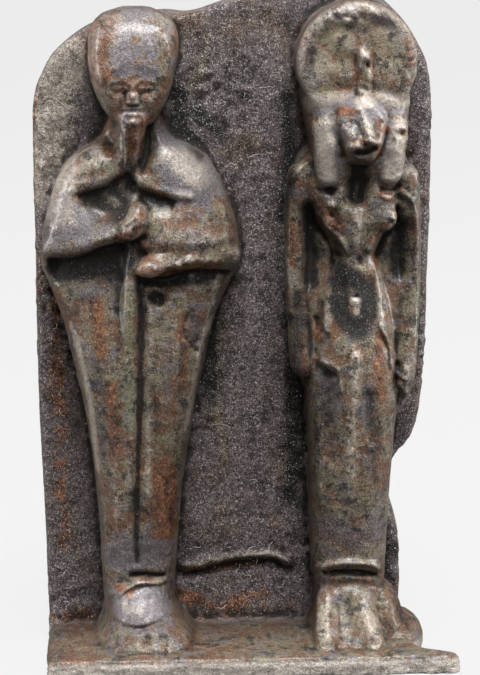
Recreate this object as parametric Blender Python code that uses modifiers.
"""Bronze dyad statuette: two standing figures in high relief on one back slab and one thin plinth plate.

The figure on the left is a mummy-shaped god with a skull cap and a straight beard, who holds a staff in
both fists. The one on the right is a lioness-headed goddess with a long wig, a sun disc and a cobra.
The piece is one casting, so its forms are modelled one by one, fused into a single skin, carved with
strokes, thinned, and cut flat underneath. Lengths are in millimetres until place() turns them to metres.
"""
import math

import bmesh
import bpy
import numpy as np
from mathutils import Matrix

# Overall sizes
DEPTH = 13.5
PLINTH_WIDTH = 33.7
PLINTH_THICK = 1.6
PLINTH_X = 0.35
PLINTH_EDGE = 0.5
SLAB_WIDTH = 32.6
SLAB_HEIGHT = 55.2
SLAB_THICK = 3.2
SLAB_X = -0.85
SLAB_EDGE = 0.5
GOD_HEIGHT = 51.8
GOD_X = -8.8
GODDESS_HEIGHT = 52.3
GODDESS_X = 8.8

# How finely the skin is made
VOXEL = 0.32
SMOOTHING_ROUNDS = 4
TRIANGLES = 9200
AROUND = 40
SINK = 1.2

# The bronze
BRONZE = (0.115, 0.088, 0.078, 1.0)
ROUGHNESS = 0.48
METALLIC = 0.85

SLAB_FRONT = DEPTH / 2 - SLAB_THICK
MILLIMETRE = 0.001


def place(points):
    """Points in metres from points in millimetres."""
    return np.asarray(points, float) * MILLIMETRE


class Figure:
    """A figure's own frame: across from its axis, up from its soles, proud of the slab's face.

    Its forms are written for a figure of the height named as drawn, and scale with the real height.
    """

    def __init__(self, axis_x, height, drawn):
        self.axis_x = axis_x
        self.scale = height / drawn

    def world(self, across, up, proud):
        """Millimetres in the part's frame."""
        x = self.axis_x + self.scale * np.asarray(across, float)
        y = SLAB_FRONT - self.scale * np.asarray(proud, float)
        z = PLINTH_THICK + self.scale * np.asarray(up, float)
        return np.stack(np.broadcast_arrays(x, y, z), axis=-1)


GOD = Figure(GOD_X, GOD_HEIGHT, 51.8)
GODDESS = Figure(GODDESS_X, GODDESS_HEIGHT, 52.3)

# Upright forms: rows of (up, left, right, proud, squareness of the section)
GOD_SHROUD = (
    (1.0, -3.0, 2.9, 5.0, 2.6),
    (3.4, -3.05, 2.9, 5.0, 2.6),
    (6.9, -3.2, 3.15, 5.0, 2.6),
    (11.2, -3.45, 3.45, 5.1, 2.6),
    (15.5, -3.9, 4.0, 5.3, 2.5),
    (19.8, -4.55, 4.75, 5.5, 2.5),
    (23.0, -5.3, 5.5, 5.5, 2.5),
    (26.1, -6.0, 6.2, 5.2, 2.5),
    (28.5, -6.8, 7.1, 4.7, 2.5),
    (30.2, -7.5, 8.0, 4.4, 2.6),
    (31.3, -7.8, 8.4, 4.8, 2.8),
    (33.0, -7.75, 8.3, 5.4, 2.8),
    (34.8, -7.4, 8.0, 5.4, 2.7),
    (36.3, -7.0, 7.5, 5.1, 2.5),
    (37.9, -6.5, 6.8, 4.8, 2.3),
    (39.1, -5.9, 6.1, 4.4, 2.2),
    (40.0, -5.0, 5.3, 4.0, 2.1),
    (40.7, -3.8, 4.1, 3.7, 2.0),
    (41.4, -2.8, 2.8, 3.5, 2.0),
    (43.5, -1.9, 1.8, 3.4, 2.0),
)
GOD_FEET = (
    (-0.6, -3.7, 4.5, 9.1, 3.0),
    (0.3, -3.5, 4.4, 9.0, 3.0),
    (1.2, -3.0, 3.7, 8.5, 2.8),
    (2.1, -2.7, 3.1, 7.7, 2.8),
    (3.1, -2.5, 2.6, 6.7, 2.8),
    (4.3, -2.4, 2.4, 5.8, 2.8),
    (5.4, -2.2, 2.2, 4.8, 2.8),
)
GOD_HEAD = (
    (42.4, -1.1, 0.8, 5.0, 2.0),
    (42.9, -1.9, 1.5, 5.7, 2.2),
    (43.8, -2.6, 2.1, 6.1, 2.3),
    (45.0, -3.2, 2.7, 6.3, 2.4),
    (46.6, -3.65, 3.1, 6.4, 2.5),
    (48.4, -3.75, 3.4, 6.3, 2.5),
    (49.6, -3.7, 3.4, 6.0, 2.5),
    (50.5, -3.4, 3.1, 5.4, 2.4),
    (51.2, -2.6, 2.4, 4.5, 2.2),
    (51.7, -1.2, 1.1, 3.2, 2.0),
)
GODDESS_DRESS = (
    (1.0, -2.75, 2.6, 5.0, 2.6),
    (3.0, -2.95, 2.8, 5.0, 2.6),
    (6.5, -3.3, 3.05, 5.0, 2.6),
    (12.1, -3.45, 3.3, 5.2, 2.6),
    (16.3, -3.6, 3.6, 5.5, 2.5),
    (19.5, -3.8, 3.85, 5.8, 2.4),
    (22.5, -3.8, 3.9, 5.9, 2.3),
    (25.0, -3.6, 3.7, 5.6, 2.2),
    (28.0, -3.1, 3.2, 5.0, 2.2),
    (30.0, -2.4, 2.5, 4.5, 2.2),
    (31.6, -1.9, 2.0, 4.3, 2.2),
    (33.2, -2.3, 2.5, 4.4, 2.2),
    (35.0, -3.3, 3.4, 4.6, 2.3),
    (37.0, -4.2, 4.1, 4.3, 2.3),
    (38.5, -4.7, 4.5, 3.7, 2.3),
    (39.8, -4.3, 4.3, 3.1, 2.2),
    (41.5, -2.8, 2.9, 2.8, 2.0),
)
GODDESS_HIPS = (
    (20.6, -4.0, 4.1, 3.0, 2.6),
    (22.5, -4.4, 4.5, 3.6, 2.6),
    (25.5, -4.6, 4.7, 3.8, 2.6),
    (28.5, -4.6, 4.7, 3.3, 2.6),
    (30.4, -4.5, 4.5, 2.4, 2.4),
    (31.4, -4.2, 4.2, 1.2, 2.2),
)
GODDESS_WIG = (
    (39.6, -3.4, 4.2, 3.6, 3.0),
    (41.5, -3.6, 4.6, 4.2, 3.0),
    (43.2, -3.9, 4.65, 4.4, 3.0),
    (44.6, -4.1, 4.6, 4.1, 2.8),
    (45.6, -3.9, 4.5, 3.2, 2.4),
)
LIONESS_FACE = (
    (39.2, -0.3, 1.1, 5.2, 2.0),
    (39.8, -0.9, 1.7, 6.1, 2.3),
    (40.9, -1.3, 2.1, 6.6, 2.5),
    (41.8, -1.5, 2.3, 6.4, 2.5),
    (42.8, -1.9, 2.6, 5.8, 2.4),
    (43.8, -2.1, 2.7, 5.2, 2.4),
    (44.8, -2.1, 2.6, 4.7, 2.2),
)

# Rounded limbs and rods: rows of (across, up, proud, radius) along their middle line
GOD_LIMBS = {
    "left forearm": ((-6.9, 32.8, 3.4, 0.9), (-4.6, 33.4, 4.4, 1.1), (-2.3, 34.4, 5.1, 1.1), (-0.2, 34.9, 5.8, 1.0)),
    "right forearm": ((7.5, 31.7, 3.4, 0.9), (5.2, 31.6, 4.4, 1.1), (2.8, 31.4, 5.2, 1.05), (0.9, 31.3, 5.9, 1.0)),
    "upper fist": ((-0.25, 34.5, 6.2, 0.85), (0.0, 35.3, 6.4, 1.05), (0.15, 36.1, 6.0, 0.8)),
    "lower fist": ((0.2, 31.2, 6.4, 0.85), (1.1, 31.25, 6.5, 1.0), (2.0, 31.3, 6.1, 0.8)),
    "beard": ((-0.25, 43.0, 5.5, 0.85), (-0.3, 41.6, 5.4, 0.72), (-0.4, 40.3, 5.0, 0.6), (-0.5, 39.4, 4.7, 0.5)),
    "staff": ((-0.2, 37.4, 5.0, 0.5), (-0.5, 31.5, 5.3, 0.55), (-0.8, 26.0, 5.15, 0.6), (-0.85, 18.0, 5.1, 0.6),
              (-0.9, 10.0, 4.75, 0.6), (-0.95, 4.6, 4.8, 0.6)),
}
GODDESS_LIMBS = {
    "left arm": ((-4.3, 38.2, 2.2, 1.1), (-4.65, 34.5, 2.0, 1.0), (-4.7, 30.5, 2.1, 0.95), (-4.5, 26.5, 2.6, 0.9),
                 (-4.15, 22.6, 3.1, 0.95)),
    "right arm": ((4.2, 38.0, 2.2, 1.15), (4.65, 34.5, 2.0, 0.95), (4.75, 30.0, 2.0, 0.9), (4.55, 26.0, 2.4, 0.95),
                  (4.25, 22.0, 3.1, 1.0)),
    "left breast": ((-1.75, 35.1, 3.9, 1.1), (-1.5, 34.7, 4.2, 1.15)),
    "right breast": ((2.2, 35.1, 3.9, 1.1), (2.4, 34.7, 4.2, 1.15)),
    "left lappet": ((-2.4, 41.5, 3.4, 1.3), (-2.3, 39.2, 3.8, 1.1), (-2.25, 37.6, 3.9, 0.95)),
    "right lappet": ((3.4, 41.5, 3.4, 1.3), (3.3, 39.2, 3.8, 1.15), (3.3, 37.7, 3.9, 1.0)),
    "cobra": ((0.5, 44.4, 4.4, 0.9), (0.5, 46.4, 4.4, 0.85), (0.5, 47.9, 4.6, 0.8)),
    "left foot": ((-2.6, 2.6, 4.6, 0.9), (-2.65, 1.2, 6.2, 0.95), (-2.7, 0.5, 7.9, 0.8)),
    "right foot": ((1.0, 2.4, 4.6, 1.35), (1.05, 1.1, 6.4, 1.4), (1.1, 0.5, 7.9, 1.2)),
}
DISC = {"across": 0.05, "up": 47.45, "radius": 4.85, "proud": 3.3, "rim": 0.95, "sunk": 0.55}
# The corroded mound at the foot of the broken slab: across, up, proud, then its three radii
MOUND = (3.2, -1.0, 3.0, 2.4, 5.0, 3.6)

# The slab's outline, as shares of its width from its middle and of its height from the plinth's underside
SLAB_OUTLINE = (
    (-0.48, 0.0), (-0.487, 0.18), (-0.498, 0.38), (-0.5, 0.6), (-0.5, 0.81), (-0.472, 0.872), (-0.428, 0.907),
    (-0.35, 0.938), (-0.25, 0.952), (-0.17, 0.958), (-0.105, 0.956), (-0.005, 0.974), (0.1, 0.991), (0.2, 1.0),
    (0.31, 0.995), (0.39, 0.965), (0.46, 0.912), (0.495, 0.85), (0.5, 0.7), (0.495, 0.55), (0.488, 0.42),
    (0.468, 0.324), (0.42, 0.282), (0.397, 0.242), (0.425, 0.175), (0.435, 0.1), (0.43, 0.0),
)
# The plinth's outline in plan, as shares of its width and of the whole depth from its middle: its right
# end is worn back behind a spur that is left at the front corner
PLINTH_OUTLINE = (
    (-0.49, -0.5), (0.485, -0.5), (0.5, -0.46), (0.49, -0.41), (0.45, -0.37), (0.415, -0.31), (0.395, -0.2),
    (0.39, 0.0), (0.385, 0.25), (0.38, 0.5), (-0.48, 0.5), (-0.5, 0.45), (-0.5, -0.47),
)

# Carved strokes: (rows of (across, up) along the stroke, reach to either side, depth; a raised one is negative)
GOD_STROKES = {
    "cap edge": (((-3.6, 47.4), (-1.8, 47.9), (-0.2, 48.0), (1.5, 47.9), (3.2, 47.4)), 0.7, -0.22),
    "left eye hollow": (((-2.5, 46.3), (-1.1, 46.2)), 0.95, 0.45),
    "right eye hollow": (((0.8, 46.2), (2.2, 46.3)), 0.95, 0.45),
    "nose": (((-0.15, 46.6), (-0.15, 45.1)), 0.8, -0.5),
    "mouth": (((-0.9, 44.15), (0.6, 44.15)), 0.45, 0.3),
    "left of beard": (((-1.7, 42.4), (-1.5, 40.2)), 0.9, 0.7),
    "right of beard": (((0.8, 42.4), (0.6, 40.4)), 0.9, 0.7),
    "left collar": (((-0.6, 39.6), (-1.6, 39.1), (-2.6, 38.4), (-4.6, 37.7)), 0.55, -0.35),
    "right collar": (((-0.1, 38.6), (0.9, 38.0), (2.2, 37.5), (4.6, 36.9)), 0.55, -0.35),
    "left chest hollow": (((-3.2, 36.9), (-1.5, 37.0)), 1.5, 0.9),
    "right chest hollow": (((1.2, 36.7), (2.4, 36.3)), 1.2, 0.7),
    "under left forearm": (((-6.4, 30.6), (-3.8, 31.5), (-1.6, 32.2)), 1.4, 0.9),
    "under right forearm": (((1.5, 29.4), (4.2, 29.5), (6.6, 30.0)), 1.1, 0.6),
    "beside the staff": (((0.2, 30.0), (0.1, 18.0), (-0.2, 6.0)), 0.55, 0.45),
    "pit": (((1.6, 28.0), (1.6, 28.1)), 1.15, 1.2),
    "hem slit": (((-2.6, 5.4), (0.0, 5.6), (2.3, 5.3)), 0.5, 0.45),
    "instep edge": (((-2.0, 2.2), (0.0, 2.0), (2.0, 2.2)), 0.5, -0.3),
}
GODDESS_STROKES = {
    "under left breast": (((-2.9, 35.0), (-1.6, 33.2), (-0.5, 31.9)), 0.8, 0.55),
    "under right breast": (((3.5, 34.4), (2.2, 33.0), (0.9, 31.8)), 0.8, 0.55),
    "left arm hollow": (((-3.5, 35.2), (-3.3, 31.2)), 0.95, 1.3),
    "right arm hollow": (((3.9, 33.4), (3.4, 30.4)), 1.0, 1.3),
    "neck hollow": (((0.2, 38.3), (0.1, 36.4)), 1.4, 0.7),
    "belly hollow": (((-1.3, 28.6), (0.2, 26.0), (1.5, 28.6)), 1.0, 0.5),
    "pubic triangle": (((-0.4, 28.1), (0.7, 28.1), (0.15, 27.4)), 0.6, -0.35),
    "left thigh edge": (((-3.2, 23.6), (-1.4, 23.3)), 0.8, -0.3),
    "thigh ridge": (((-0.7, 24.8), (-0.8, 18.0), (-0.8, 12.0)), 0.9, -0.3),
    "left eye hollow": (((-1.0, 43.2), (-0.4, 43.1)), 0.6, 0.35),
    "right eye hollow": (((1.2, 43.1), (1.8, 43.2)), 0.6, 0.35),
    "mouth": (((-0.2, 40.3), (1.0, 40.3)), 0.55, 0.55),
    "hem slit": (((-2.6, 5.2), (1.7, 5.2)), 0.45, 0.4),
    "hem edge": (((-2.4, 5.9), (1.7, 5.9)), 0.5, -0.25),
}
# The low ledge on the slab between the figures: (x, z) along it, then its reach and its height
LEDGE = (((-5.6, 6.2), (-3.6, 6.4), (-1.8, 6.8), (0.2, 7.1), (2.4, 7.1), (3.8, 6.5)), 0.75, -0.5)
FIGURE_ONLY = 0.9


def smooth_rows(rows, count):
    """Evenly spread rows of a smooth cubic curve through the given rows, by their number."""
    rows = np.array(rows, float)
    wanted = np.linspace(0, len(rows) - 1, count)
    slope = np.gradient(rows, axis=0)
    i = np.clip(wanted.astype(int), 0, len(rows) - 2)
    t = (wanted - i)[:, None]
    return ((1 + 2 * t) * (1 - t) ** 2 * rows[i] + t * (1 - t) ** 2 * slope[i]
            + t * t * (3 - 2 * t) * rows[i + 1] + t * t * (t - 1) * slope[i + 1])


def rounded(value, squareness):
    """A circle's sine or cosine bent towards a square's."""
    return np.sign(value) * np.abs(value) ** (2 / squareness)


def skin_of_rings(rings):
    """A closed bmesh over a stack of rings with as many points each, capped flat at both ends."""
    skin = bmesh.new()
    rows = [[skin.verts.new(point) for point in place(ring)] for ring in rings]
    for lower, upper in zip(rows, rows[1:]):
        for i, corner in enumerate(lower):
            j = (i + 1) % len(lower)
            skin.faces.new((corner, lower[j], upper[j], upper[i]))
    skin.faces.new(rows[0][::-1])
    skin.faces.new(rows[-1])
    bmesh.ops.recalc_face_normals(skin, faces=skin.faces)
    return skin


def upright_form(figure, rows, widest=1.4, count=60):
    """A form of D-shaped sections: round in front of its widest line, square behind it, sunk in the slab."""
    up, left, right, proud, squareness = (column[:, None] for column in smooth_rows(rows, count).T)
    turn = np.linspace(0, 2 * math.pi, AROUND, endpoint=False)[None, :]
    front = np.sin(turn) >= 0
    bend = np.where(front, squareness, 6.0)
    across = (left + right) / 2 + (right - left) / 2 * rounded(np.cos(turn), bend)
    reach = np.where(front, proud - widest, widest + SINK)
    out = widest + reach * rounded(np.sin(turn), bend)
    return skin_of_rings(figure.world(across, up, out))


def limb(figure, rows, count=16):
    """A round rod through points of given radius, closed by round ends."""
    rows = smooth_rows(rows, count)
    middle = figure.world(*rows[:, :3].T)
    radius = rows[:, 3] * figure.scale
    along = np.gradient(middle, axis=0)
    along /= np.linalg.norm(along, axis=1)[:, None]
    side = np.cross(along, (0.25, -0.9, 0.36))
    side /= np.linalg.norm(side, axis=1)[:, None]
    over = np.cross(along, side)
    lean = np.radians((75, 50, 25))
    start = [middle[0] - along[0] * radius[0] * math.sin(a) for a in lean]
    end = [middle[-1] + along[-1] * radius[-1] * math.sin(a) for a in lean[::-1]]
    middle = np.vstack([start, middle, end])
    radius = np.concatenate([radius[0] * np.cos(lean), radius, radius[-1] * np.cos(lean[::-1])])
    side = np.vstack([[side[0]] * 3, side, [side[-1]] * 3])[:, None]
    over = np.vstack([[over[0]] * 3, over, [over[-1]] * 3])[:, None]
    turn = np.linspace(0, 2 * math.pi, 20, endpoint=False)[None, :, None]
    return skin_of_rings(middle[:, None] + radius[:, None, None] * (side * np.cos(turn) + over * np.sin(turn)))


def ball(figure, across, up, proud, *radii):
    """An ellipsoid at a place on a figure."""
    skin = bmesh.new()
    bmesh.ops.create_uvsphere(skin, u_segments=24, v_segments=16, radius=1)
    centre = place(figure.world(across, up, proud))
    bmesh.ops.scale(skin, verts=skin.verts, vec=[r * figure.scale * MILLIMETRE for r in radii])
    bmesh.ops.translate(skin, verts=skin.verts, vec=centre)
    return skin


def sun_disc(figure):
    """A thick disc facing forward, turned from its profile: a sunk face inside a rounded rim."""
    radius, rim, proud = DISC["radius"], DISC["rim"], DISC["proud"]
    swell = np.linspace(-math.pi / 2, math.pi / 2, 9)
    out = np.concatenate([[0.3], radius - rim + rim * np.cos(swell), [radius - 2 * rim, 0.3]])
    height = np.concatenate([[-SINK], np.where(swell < 0, -SINK, proud + rim * np.sin(swell)),
                             [proud + rim - DISC["sunk"]] * 2])
    turn = np.linspace(0, 2 * math.pi, 48, endpoint=False)
    across = DISC["across"] + out[:, None] * np.cos(turn)
    up = DISC["up"] + out[:, None] * np.sin(turn)
    return skin_of_rings(figure.world(across, up, height[:, None] + 0 * across))


def plate(outline, thick, edge):
    """A flat plate with rounded edges, extruded from its outline about its own middle plane, lying flat."""
    curve = bpy.data.curves.new("outline", "CURVE")
    curve.dimensions = "2D"
    curve.fill_mode = "BOTH"
    spline = curve.splines.new("POLY")
    spline.points.add(len(outline) - 1)
    for point, (x, y) in zip(spline.points, place(outline)):
        point.co = (x, y, 0, 1)
    spline.use_cyclic_u = True
    curve.bevel_depth = edge * MILLIMETRE
    curve.bevel_resolution = 2
    curve.offset = -edge * MILLIMETRE
    curve.extrude = (thick / 2 - edge) * MILLIMETRE
    holder = bpy.data.objects.new("outline", curve)
    bpy.context.scene.collection.objects.link(holder)
    mesh = bpy.data.meshes.new_from_object(holder.evaluated_get(bpy.context.evaluated_depsgraph_get()))
    bpy.data.objects.remove(holder)
    skin = bmesh.new()
    skin.from_mesh(mesh)
    bmesh.ops.remove_doubles(skin, verts=skin.verts, dist=0.01 * MILLIMETRE)
    return skin


def slab():
    """The back slab: its plate stood upright behind the figures."""
    outline = smooth_rows(SLAB_OUTLINE, 160) * (SLAB_WIDTH, SLAB_HEIGHT) + (SLAB_X, 0)
    skin = plate(outline, SLAB_THICK, SLAB_EDGE)
    bmesh.ops.rotate(skin, verts=skin.verts, matrix=Matrix.Rotation(math.pi / 2, 3, "X"))
    bmesh.ops.translate(skin, verts=skin.verts, vec=place((0, SLAB_FRONT + SLAB_THICK / 2, 0)))
    bmesh.ops.recalc_face_normals(skin, faces=skin.faces)
    return skin


def plinth():
    """The plinth plate, which reaches a little below the plane where the underside is cut."""
    outline = np.array(PLINTH_OUTLINE) * (PLINTH_WIDTH, DEPTH) + (PLINTH_X, 0)
    thick = PLINTH_THICK + SINK
    skin = plate(outline, thick, PLINTH_EDGE)
    bmesh.ops.translate(skin, verts=skin.verts, vec=place((0, 0, PLINTH_THICK - thick / 2)))
    bmesh.ops.recalc_face_normals(skin, faces=skin.faces)
    return skin


def make_object(name, mesh, collection):
    """A new object of the mesh in the collection."""
    made = bpy.data.objects.new(name, mesh)
    collection.objects.link(made)
    return made


def fused(skins, collection):
    """One mesh of all the skins, fused by voxels and smoothed where they meet."""
    joined = bmesh.new()
    for skin in skins:
        piece = bpy.data.meshes.new("form")
        skin.to_mesh(piece)
        skin.free()
        joined.from_mesh(piece)
        bpy.data.meshes.remove(piece)
    mesh = bpy.data.meshes.new("forms")
    joined.to_mesh(mesh)
    joined.free()
    forms = make_object("forms", mesh, collection)
    remesh = forms.modifiers.new("fuse", "REMESH")
    remesh.mode = "VOXEL"
    remesh.voxel_size = VOXEL * MILLIMETRE
    smooth = forms.modifiers.new("soften", "SMOOTH")
    smooth.factor = 0.5
    smooth.iterations = SMOOTHING_ROUNDS
    fused_mesh = bpy.data.meshes.new_from_object(forms.evaluated_get(bpy.context.evaluated_depsgraph_get()))
    bpy.data.objects.remove(forms)
    return fused_mesh


def path_distance(flat, path):
    """Shortest distance, in the front view, from each point to a path of straight runs."""
    nearest = np.full(len(flat), np.inf)
    for start, end in zip(path[:-1], path[1:]):
        run = end - start
        share = np.clip((flat - start) @ run / max(run @ run, 1e-9), 0, 1)
        nearest = np.minimum(nearest, np.linalg.norm(flat - start - share[:, None] * run, axis=1))
    return nearest


def carve(points, facing, path, reach, depth, proud_over=None):
    """Push the front skin back along a stroke, or pull it forward where the depth is negative."""
    fall = np.clip(1 - path_distance(points[:, [0, 2]], path) / reach, 0, 1)
    push = depth * fall * fall * (3 - 2 * fall) * facing
    if proud_over is not None:
        proud = SLAB_FRONT - points[:, 1]
        push = push * np.clip((proud - proud_over) / 0.5, 0, 1)
    points[:, 1] += push


def carve_strokes(mesh):
    """Carve every stroke into the fused skin."""
    count = len(mesh.vertices)
    points = np.empty(count * 3)
    mesh.vertices.foreach_get("co", points)
    points = points.reshape(-1, 3) / MILLIMETRE
    normals = np.empty(count * 3)
    mesh.vertices.foreach_get("normal", normals)
    facing = np.clip(-normals.reshape(-1, 3)[:, 1] * 1.6, 0, 1)
    for figure, strokes in ((GOD, GOD_STROKES), (GODDESS, GODDESS_STROKES)):
        for line, reach, depth in strokes.values():
            across, up = np.array(line, float).T
            path = figure.world(across, up, 0)[:, [0, 2]]
            carve(points, facing, path, reach * figure.scale, depth * figure.scale, FIGURE_ONLY)
    line, reach, depth = LEDGE
    carve(points, facing, np.array(line, float), reach, depth)
    mesh.vertices.foreach_set("co", place(points).ravel())
    mesh.update()


def bronze():
    """Dark brown cast bronze."""
    material = bpy.data.materials.new("patinated_bronze")
    material.use_nodes = True
    shader = material.node_tree.nodes["Principled BSDF"]
    shader.inputs["Base Color"].default_value = BRONZE
    shader.inputs["Roughness"].default_value = ROUGHNESS
    shader.inputs["Metallic"].default_value = METALLIC
    material.diffuse_color = BRONZE
    return material


def ground_cutter(collection):
    """A block whose top lies in the plane of the underside."""
    block = bmesh.new()
    bmesh.ops.create_cube(block, size=1)
    bmesh.ops.scale(block, verts=block.verts, vec=place((3 * PLINTH_WIDTH, 3 * DEPTH, 10)))
    bmesh.ops.translate(block, verts=block.verts, vec=place((0, 0, -5)))
    mesh = bpy.data.meshes.new("ground_cutter")
    block.to_mesh(mesh)
    block.free()
    cutter = make_object("ground_cutter", mesh, collection)
    cutter.hide_render = True
    cutter.display_type = "WIRE"
    return cutter


def main():
    for thing in list(bpy.data.objects):
        bpy.data.objects.remove(thing)
    parts = bpy.data.collections.new("bronze_dyad_statuette")
    cutters = bpy.data.collections.new("cutters")
    bpy.context.scene.collection.children.link(parts)
    bpy.context.scene.collection.children.link(cutters)

    skins = [slab(), plinth()]
    for rows in (GOD_SHROUD, GOD_FEET):
        skins.append(upright_form(GOD, rows))
    skins.append(upright_form(GOD, GOD_HEAD, widest=3.0))
    skins += [limb(GOD, rows) for rows in GOD_LIMBS.values()]
    for rows in (GODDESS_DRESS, GODDESS_HIPS, GODDESS_WIG, LIONESS_FACE):
        skins.append(upright_form(GODDESS, rows))
    skins += [limb(GODDESS, rows) for rows in GODDESS_LIMBS.values()]
    skins += [sun_disc(GODDESS), ball(GODDESS, *MOUND)]

    mesh = fused(skins, cutters)
    carve_strokes(mesh)
    casting = make_object("dyad_casting", mesh, parts)
    mesh.materials.clear()
    mesh.materials.append(bronze())
    thin = casting.modifiers.new("thin", "DECIMATE")
    thin.ratio = TRIANGLES / (2 * len(mesh.polygons))
    cut = casting.modifiers.new("flat_underside", "BOOLEAN")
    cut.operation = "DIFFERENCE"
    cut.object = ground_cutter(cutters)


main()
